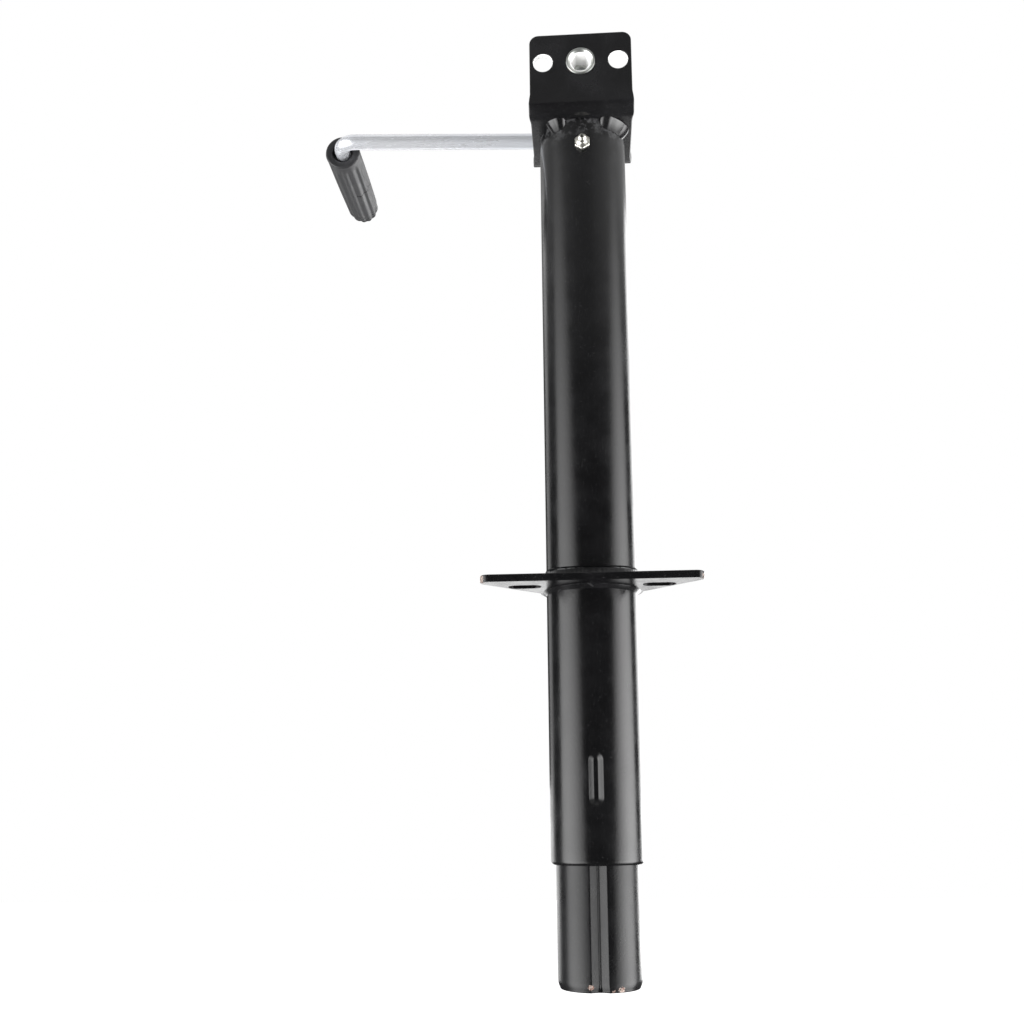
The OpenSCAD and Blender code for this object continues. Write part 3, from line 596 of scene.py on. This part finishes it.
# ------------------------------------------------------------------ gear bracket, bent from strap
def gear_bracket():
    t, bend = 4.5 * MM, 8 * MM
    half_w = bracket_hi.x
    half_d, tall = bracket_hi.y, bracket_hi.z - bracket_lo.z
    corner = 6 * MM
    mid = bend - t / 2
    straight, quarter, web = tall - bend, math.pi / 2 * mid, 2 * (half_d - bend)
    total = 2 * straight + 2 * quarter + web
    outline = (arc(half_w - corner, total / 2 - corner, corner, 0, 90, 12)
               + arc(-half_w + corner, total / 2 - corner, corner, 90, 180, 12)
               + arc(-half_w + corner, -total / 2 + corner, corner, 180, 270, 12)
               + arc(half_w - corner, -total / 2 + corner, corner, 270, 360, 12))
    hole_v, side_x, side_r = total / 2 - (bracket_hi.z - AXIS_Z), 24.7 * MM, 6.4 * MM
    screw_hole_r, shaft_hole_r = 10.5 * MM, 9.56 * MM
    holes = [circle(0, 0, screw_hole_r)]
    for v in (-hole_v, hole_v):
        holes += [circle(-side_x, v, side_r), circle(side_x, v, side_r), circle(0, v, shaft_hole_r)]
    bm = flat_plate(outline, holes, t, 0.75 * MM)
    cuts = []
    for k in range(13):
        u = web / 2 + quarter * k / 12
        cuts += [u, -u]
    cuts += [s * (web / 2 + quarter + extra) for extra in (0.003, 0.006, 0.012) for s in (-1, 1)]
    cuts += [s * (web / 2 - extra) for extra in (0.003, 0.006, 0.012) for s in (-1, 1)]
    for u in cuts:
        bmesh.ops.bisect_plane(bm, geom=bm.verts[:] + bm.edges[:] + bm.faces[:], plane_co=(0, u, 0),
                               plane_no=(0, 1, 0), dist=1e-7)
    # The walls of the side holes take the near-white finish: painted reflection of the bright floor in the hole
    # walls.
    for face in bm.faces:
        x, v, w = face.calc_center_median()
        if math.hypot(abs(x) - side_x, abs(v) - hole_v) < side_r + 0.05 * MM and abs(face.normal.z) < 0.3:
            face.material_index = 1
    z0 = bracket_lo.z
    for vertex in bm.verts:
        x, u, w = vertex.co
        side = 1 if u > 0 else -1
        s = abs(u) - web / 2
        bulge = smoothstep(-0.006, 0.003, s) * (1 - smoothstep(quarter, quarter + 0.007, s))
        x *= 1 + 0.026 * bulge * (1 if w > 0 else 1.15)
        if s <= 0:
            y, z = abs(u), t / 2 - w
        elif s < quarter:
            a = s / mid
            y, z = half_d - bend + (mid + w) * math.sin(a), bend - (mid + w) * math.cos(a)
        else:
            y, z = half_d - t / 2 + w, bend + s - quarter
        vertex.co = (x, side * y, z0 + z)
    piece("jack_gear_bracket", bm, "outer", "black_paint", ["gear_bracket"], BRACKET_PAINT,
          second=PAINTED_GLARE_WHITE, sharp=60, weighted=True)


# ------------------------------------------------------------------ welds
def toe_height(a):
    """How high the upper weld reaches on the tube, by the angle about the tube's axis in radians."""
    return (7.0 + 2.2 * math.cos(a) ** 2) * MM


def add_weld(bm, z, up, width, height, start, end, pitch, phase, ripple, lump, round_ends=False, bulge=0.0,
             lip=0.0):
    """A fillet bead on the tube from one angle to another: its width on the plate, its height on the tube
    as a function of the angle, ripples one pitch apart, a bulge across its face and a lip along its toe."""
    span = math.radians(end - start)
    length = abs(span) * (TUBE_R + width / 2)
    steps = int(length / (0.35 * MM))
    full = abs(end - start) >= 359.9
    rows = []
    for i in range(steps if full else steps + 1):
        share = i / steps
        a = math.radians(start) + span * share
        drift = noise.noise(Vector((math.cos(a) * 6, math.sin(a) * 6, phase)))
        wave = (length * share / pitch + phase + 0.5 * drift) % 1.0
        swell = ripple * (1 - (2 * wave - 1) ** 2) + lump * drift
        taper = 1.0
        if round_ends:
            distance = min(share, 1 - share) * length
            taper = math.sqrt(max(0.02, 1 - max(0.0, 1 - distance / (1.1 * width)) ** 2))
        tall, wide = height(a) * taper, width * taper
        row = [(TUBE_R - 0.3 * MM, 0.0)]
        for k in range(25):
            s = k / 24
            rise = swell * math.sin(math.pi * min(1.0, 0.15 + 0.85 * s))
            push = (bulge * math.sin(math.pi * s) + rise) * taper
            push += lip * (0.7 + swell / MM) * math.exp(-((s - 0.88) / 0.06) ** 2)
            outward, upward = (0.8 * push if k < 24 else 0), (0.6 * push if k else 0)
            row.append((TUBE_R + wide * (1 - s) + outward, tall * s + upward))
        row.append((TUBE_R - 0.3 * MM, row[-1][1]))
        rows.append([(r * math.cos(a), r * math.sin(a), z + up * h) for r, h in row])
    add_grid(bm, rows, wrap_u=full)


def close_ends(bm):
    open_edges = [e for e in bm.edges if e.is_boundary]
    bmesh.ops.holes_fill(bm, edges=open_edges, sides=0)


def welds():
    bm = bmesh.new()
    add_weld(bm, flange_hi.z, 1, 3.2 * MM, toe_height, 0, 360, 3.1 * MM, 0.2, 0.16 * MM, 0.25 * MM,
             bulge=-0.2 * MM, lip=0.55 * MM)
    # Faces along the top of the toe take the darker coat: a painted shade line under the toe's lip.
    for face in bm.faces:
        x, y, z = face.calc_center_median()
        share = (z - flange_hi.z) / toe_height(math.atan2(y, x))
        ragged = 0.07 * noise.noise(Vector((x, y, 0)) * 420)
        if 0.84 + ragged < share < 0.99 + ragged:
            face.material_index = 1
    piece("jack_flange_weld_upper", bm, "outer", "weld_paint", ["flange_weld_upper"], second=TOE_PAINTED_SHADE,
          sharp=70)
    bm = bmesh.new()
    add_weld(bm, 0.0, -1, 2.4 * MM, lambda a: 2.4 * MM, 0, 360, 2.6 * MM, 1.7, 0.05 * MM, 0.07 * MM)
    piece("jack_flange_weld_lower", bm, "outer", "weld_paint", ["flange_weld_lower"], sharp=70)
    bm = bmesh.new()
    for n, (start, end) in enumerate(((-139, -111), (-66, -14), (33, 68), (112, 147))):
        add_weld(bm, bracket_lo.z, -1, 5.6 * MM, lambda a: 6.2 * MM, start, end, 6.5 * MM, 0.6 + n,
                 0.16 * MM, 0.25 * MM, round_ends=True, bulge=0.35 * MM)
    close_ends(bm)
    piece("jack_bracket_welds", bm, "outer", "weld_paint", ["bracket_welds"], sharp=70)


# ------------------------------------------------------------------ grease fitting
def grease_fitting():
    z = 294 * MM

    def place(x, y, h):
        return (x, -TUBE_R - h, z + y)

    bm = bmesh.new()
    nipple = [(0.8, 7.9), (1.5, 8.1), (2.4, 7.5), (2.9, 6.6), (3.0, 5.8), (2.7, 5.1), (2.1, 4.5)]
    seat = [(2.0, 3.9), (2.6, 3.2), (4.2, 2.5), (4.3, 2.3), (3.6, -3), (0.8, -3)]
    lathe(bm, [(r * MM, h * MM) for r, h in nipple + seat], 48, place)
    side, bore_r = 5.45 * MM, 2 * MM
    turns = [math.radians(5 * i) for i in range(72)]
    rows = [[place(bore_r * math.cos(a), bore_r * math.sin(a), 0.1 * MM) for a in turns]]
    for h, shrink in ((0.1, 0.25), (0.3, 0.0), (2.0, 0.0), (2.45, 0.35)):
        row = []
        for a in turns:
            off_flat = ((a + math.pi / 6) % (math.pi / 3)) - math.pi / 6
            flat = side * math.cos(math.radians(30)) / math.cos(off_flat)
            r = min(flat, side * 0.97) - shrink * MM
            row.append(place(r * math.cos(a), r * math.sin(a), h * MM))
        rows.append(row)
    rows.append([place(bore_r * math.cos(a), bore_r * math.sin(a), 2.5 * MM) for a in turns])
    add_grid(bm, rows, wrap_u=True)
    piece("jack_grease_fitting", bm, "outer", "zinc_fitting", ["grease_fitting"], sharp=35)


# ------------------------------------------------------------------ crank
ARM_X = -181 * MM
TILT = Matrix.Translation((0, 0, AXIS_Z)) @ Matrix.Rotation(math.radians(2.6), 4, "Y")


def crank_rod():
    """One bent zinc-plated rod, from inside the drive sleeve along the arm and back through the grip."""
    radius, bend_r = 5.5 * MM, 12.5 * MM
    start_y, arm_y, end_y = -18 * MM, 60 * MM, 159.5 * MM
    path = [(0, start_y + (arm_y - bend_r - start_y) * k / 10) for k in range(11)]
    path += arc(-bend_r, arm_y - bend_r, bend_r, 0, 90, 20)[1:]
    path += [(-bend_r + (ARM_X + 2 * bend_r) * k / 24, arm_y) for k in range(1, 25)]
    path += arc(ARM_X + bend_r, arm_y + bend_r, bend_r, 270, 180, 20)[1:]
    path += [(ARM_X, arm_y + bend_r + (end_y - arm_y - bend_r) * k / 10) for k in range(1, 11)]
    count = len(path)
    rows = []
    for i, (x, y) in enumerate(path):
        (ax, ay), (bx, by) = path[max(0, i - 1)], path[min(count - 1, i + 1)]
        length = math.hypot(bx - ax, by - ay)
        dx, dy = (bx - ax) / length, (by - ay) / length
        row = []
        for a in full_turn(56):
            out = radius * math.cos(a)
            row.append(TILT @ Vector((x + dy * out, y - dx * out, radius * math.sin(a))))
        rows.append(row)
    for end, direction in ((0, -1), (count - 1, 1)):
        x, y = path[end]
        cap = []
        for r, h in ((radius - 0.35 * MM, 0.35 * MM), (0.05 * MM, 0.35 * MM)):
            cap.append([TILT @ Vector((x + r * math.cos(a), y + direction * h, r * math.sin(a)))
                        for a in full_turn(56)])
        rows = cap[::-1] + rows if end == 0 else rows + cap
    bm = bmesh.new()
    add_grid(bm, rows)
    close_ends(bm)
    piece("jack_crank_rod", bm, "crank", "zinc_rod", ["crank_rod"], sharp=40)


def drive_sleeve():
    """The turned sleeve with its hex socket, a chamfered mouth and rounded outer rims."""
    outer_r, flats, mouth_r, rod_r, bore_r = 9.5 * MM, 11.4 * MM, 8.3 * MM, 5.5 * MM, 4.5 * MM
    front_edge, rear_edge = 0.5 * MM, 0.8 * MM
    y0, y1 = sleeve_lo.y, sleeve_hi.y
    depth, bore_depth = 14 * MM, 19 * MM

    def ring(radius, y, hexed=False):
        row = []
        for a in full_turn(144):
            flat = flats / 2 / math.cos((a % (math.pi / 3)) - math.pi / 6)
            flat = min(flat, flats / 2 * 1.135)
            r = max(radius, flat) if hexed else radius
            row.append(TILT @ Vector((r * math.cos(a), y, r * math.sin(a))))
        return row

    rows = [ring(rod_r, y1), ring(outer_r - rear_edge, y1), ring(outer_r, y1 - rear_edge)]
    rows += [ring(outer_r, y1 + (y0 - y1) * k / 8) for k in range(1, 8)]
    for a in (math.radians(d) for d in (0, 30, 60, 90)):
        rows.append(ring(outer_r - front_edge * (1 - math.cos(a)), y0 + front_edge * (1 - math.sin(a))))
    rows += [ring(mouth_r + 0.25 * MM, y0), ring(mouth_r, y0 + 0.08 * MM)]
    rows += [ring(mouth_r - 0.35 * MM * k, y0 + (0.15 + 0.30 * k) * MM, True) for k in range(1, 9)]
    rows += [ring(0, y0 + depth - 0.5 * MM, True), ring(0, y0 + depth, True)]
    rows += [ring(bore_r, y0 + depth + 0.3 * MM), ring(bore_r, y0 + bore_depth)]
    rows.append(ring(rod_r, y0 + bore_depth))
    bm = bmesh.new()
    add_grid(bm, rows, wrap_u=True)
    # Inside the socket the zinc takes the near-white finish: the zinc is real, but its near-white colour is
    # painted reflection of the bright floor.
    for face in bm.faces:
        x, y, z = face.calc_center_median()
        if y < y0 + depth and math.hypot(x, z - AXIS_Z) < 6.9 * MM and y > y0 + 0.4 * MM:
            face.material_index = 1
    piece("jack_drive_sleeve", bm, "crank", "zinc_sleeve", ["drive_sleeve"], second=PAINTED_GLARE_WHITE, sharp=38)


# ------------------------------------------------------------------ grip
def grip():
    """A moulded grip: a plain collar at its mouth, soft flutes, and a closed, rounded end."""
    length, sleeve_l, big_r, end_r = 95 * MM, 82 * MM, 13 * MM, 12.3 * MM
    bore_r, mouth_r, pocket_r, edge, flute = 5.55 * MM, 7.9 * MM, 8.7 * MM, 1.3 * MM, 1.2 * MM
    start_y, flutes = 73.5 * MM, 12
    cut_h, cut_w, cut_depth, cut_angle = 46 * MM, 0.35 * MM, 0.45 * MM, 325

    def nick(h, a):
        """How deep a short cut across the grip's lower right side goes."""
        away = abs((math.degrees(a) - cut_angle + 180) % 360 - 180)
        return cut_depth * math.exp(-((h - cut_h) / cut_w) ** 2) * (1 - smoothstep(38, 48, away))

    def ring(radius, h, depth=0):
        row = []
        for a in full_turn(240):
            wave = 0.5 - 0.5 * math.cos(flutes * a)
            r = radius - depth * wave ** 1.3 - nick(h, a)
            row.append(TILT @ Vector((ARM_X + r * math.cos(a), start_y + h, r * math.sin(a))))
        return row

    def depth_at(h):
        return flute * smoothstep(4.5 * MM, 13 * MM, h)

    def radius_at(h):
        belly = 0.25 * MM * math.sin(math.pi * h / sleeve_l)
        return big_r + (end_r - big_r) * h / sleeve_l + belly - 0.25 * MM

    mouth = [(bore_r, sleeve_l - 1.5 * MM), (bore_r, 5 * MM), (mouth_r, 5 * MM), (mouth_r, 0.7 * MM)]
    mouth += [(mouth_r + 0.2 * MM, 0.2 * MM), (mouth_r + 0.7 * MM, 0)]
    for a in (math.radians(d) for d in (0, 30, 60, 90)):
        mouth.append((big_r - edge * (1 - math.sin(a)), edge * (1 - math.cos(a))))
    rows = [ring(r, h) for r, h in mouth]
    steps = [edge + (sleeve_l - 1.6 * MM) * k / 60 for k in range(1, 61)]
    steps = [h for h in steps if abs(h - cut_h) > 1.2 * MM] + [cut_h + cut_w * k / 2 for k in range(-5, 6)]
    for h in sorted(steps):
        rows.append(ring(radius_at(h), h, depth_at(h)))
    rows += [ring(end_r - 0.6 * MM, sleeve_l, flute), ring(pocket_r, sleeve_l)]
    rows.append(ring(pocket_r, sleeve_l - 1.5 * MM))
    bm = bmesh.new()
    add_grid(bm, rows, wrap_u=True)
    piece("jack_grip", bm, "grip", "grip_plastic", ["grip"], sharp=45)

    cap_h = length - sleeve_l
    floor_h, joint_h = sleeve_l + 6 * MM, sleeve_l + 0.05 * MM
    rows = [ring(TINY, floor_h), ring(pocket_r, floor_h), ring(pocket_r, joint_h)]
    rows.append(ring(end_r - 0.6 * MM, joint_h, flute))
    for k in range(25):
        a = math.radians(90 * k / 24)
        r = (end_r - 0.25 * MM) * math.cos(a) ** 0.62
        h = sleeve_l + 0.35 * MM + (cap_h - 0.35 * MM) * math.sin(a) ** 1.15
        fade = 1 - smoothstep(0.50, 0.95, math.sin(a))
        rows.append(ring(max(TINY, r), h, flute * fade))
    bm = bmesh.new()
    add_grid(bm, rows)
    close_ends(bm)
    piece("jack_grip_end", bm, "grip", "grip_plastic", ["grip_cap"], sharp=45)


# ------------------------------------------------------------------ lead screw
def lead_screw():
    """The screw with its left-hand trapezoidal thread, and the plain journal that carries the gear."""
    lo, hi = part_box("lead_screw")
    collar_lo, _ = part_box("screw_collar")
    crest, root, lead = 9 * MM, 6.9 * MM, 5 * MM
    around_screw, step = full_turn(48), 0.4 * MM
    top = collar_lo.z - 1.2 * MM
    rows = [[(TINY * math.cos(a), TINY * math.sin(a), lo.z) for a in around_screw]]
    for k in range(int((top - lo.z) / step) + 1):
        z = lo.z + step * k
        tip = smoothstep(0, 3 * MM, z - lo.z) * smoothstep(0, 5 * MM, top - z)
        row = []
        for a in around_screw:
            wave = (z / lead + a / (2 * math.pi)) % 1.0
            height = smoothstep(0.10, 0.28, wave) * (1 - smoothstep(0.72, 0.90, wave))
            r = root + (crest - root) * height * tip - 0.5 * MM * (1 - smoothstep(0, 2 * MM, z - lo.z))
            row.append((r * math.cos(a), r * math.sin(a), z))
        rows.append(row)
    shoulder = [(8.9 * MM, top + 0.3 * MM), (crest, top + 0.6 * MM), (crest, collar_lo.z)]
    journal = [(8 * MM, collar_lo.z), (8 * MM, hi.z - 0.6 * MM), (7.4 * MM, hi.z), (TINY, hi.z)]
    for r, z in shoulder + journal:
        rows.append([(r * math.cos(a), r * math.sin(a), z) for a in around_screw])
    bm = bmesh.new()
    add_grid(bm, rows)
    close_ends(bm)
    piece("jack_lead_screw", bm, "screw", "plain_steel", ["lead_screw"], sharp=50)


# ------------------------------------------------------------------ build it
studio()
outer_tube()
drop_leg()
flange()
gear_bracket()
welds()
grease_fitting()
crank_rod()
drive_sleeve()
grip()
lead_screw()

slot_of = {s["node"]: s["material_slot"] for s in frame["record"]["subparts"]}
for name, node in nodes.items():
    node.data.materials.clear()
    node.data.materials.append(MATERIALS[slot_of[name]])
